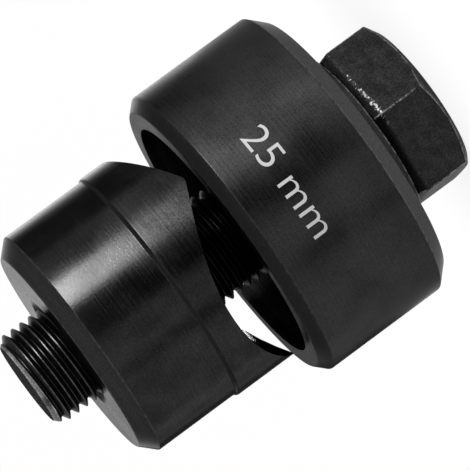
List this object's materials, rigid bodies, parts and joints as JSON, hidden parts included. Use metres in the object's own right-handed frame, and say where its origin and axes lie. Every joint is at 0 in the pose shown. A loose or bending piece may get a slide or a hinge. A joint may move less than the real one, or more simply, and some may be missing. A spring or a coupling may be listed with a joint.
{
  "type": "knockout punch",
  "caption": "Screw-drawn knockout punch: a hex-headed draw bolt pulls a scalloped round punch into a cup-shaped die to cut a round hole in sheet metal.",
  "frame": {"origin": "centre of the flat end face of the bolt's hexagonal head, which the tool stands on", "axes": "+Z along the bolt, from its head to its free end; +X through a corner of the hexagon"},
  "size_m": [0.0315, 0.0314, 0.046],
  "materials": {
    "bolt_steel": "oiled black oxide on a forged head and a rolled thread",
    "washer_steel": "black oxide, satin",
    "die_steel": "black oxide over fine lathe turning, satin",
    "punch_steel": "black oxide over fine lathe turning, satin"
  },
  "bodies": {
    "die": {"die": "die_steel"},
    "bolt": {"draw_bolt": "bolt_steel", "washer": "washer_steel"},
    "punch": {"punch": "punch_steel"}
  },
  "joints": [
    {"name": "bolt_turn", "type": "hinge", "parent": "die", "child": "bolt", "pos_m": [0, 0, 0.008], "axis": [0, 0, 1], "range_deg": [-3600, 3600]},
    {"name": "punch_feed", "type": "slide", "parent": "die", "child": "punch", "axis": [0, 0, 1], "range_m": [-0.01, 0.01]}
  ],
  "couplings": [
    {"joint": "bolt_turn", "follows": "punch_feed", "rad_per_m": -6283.2}
  ]
}
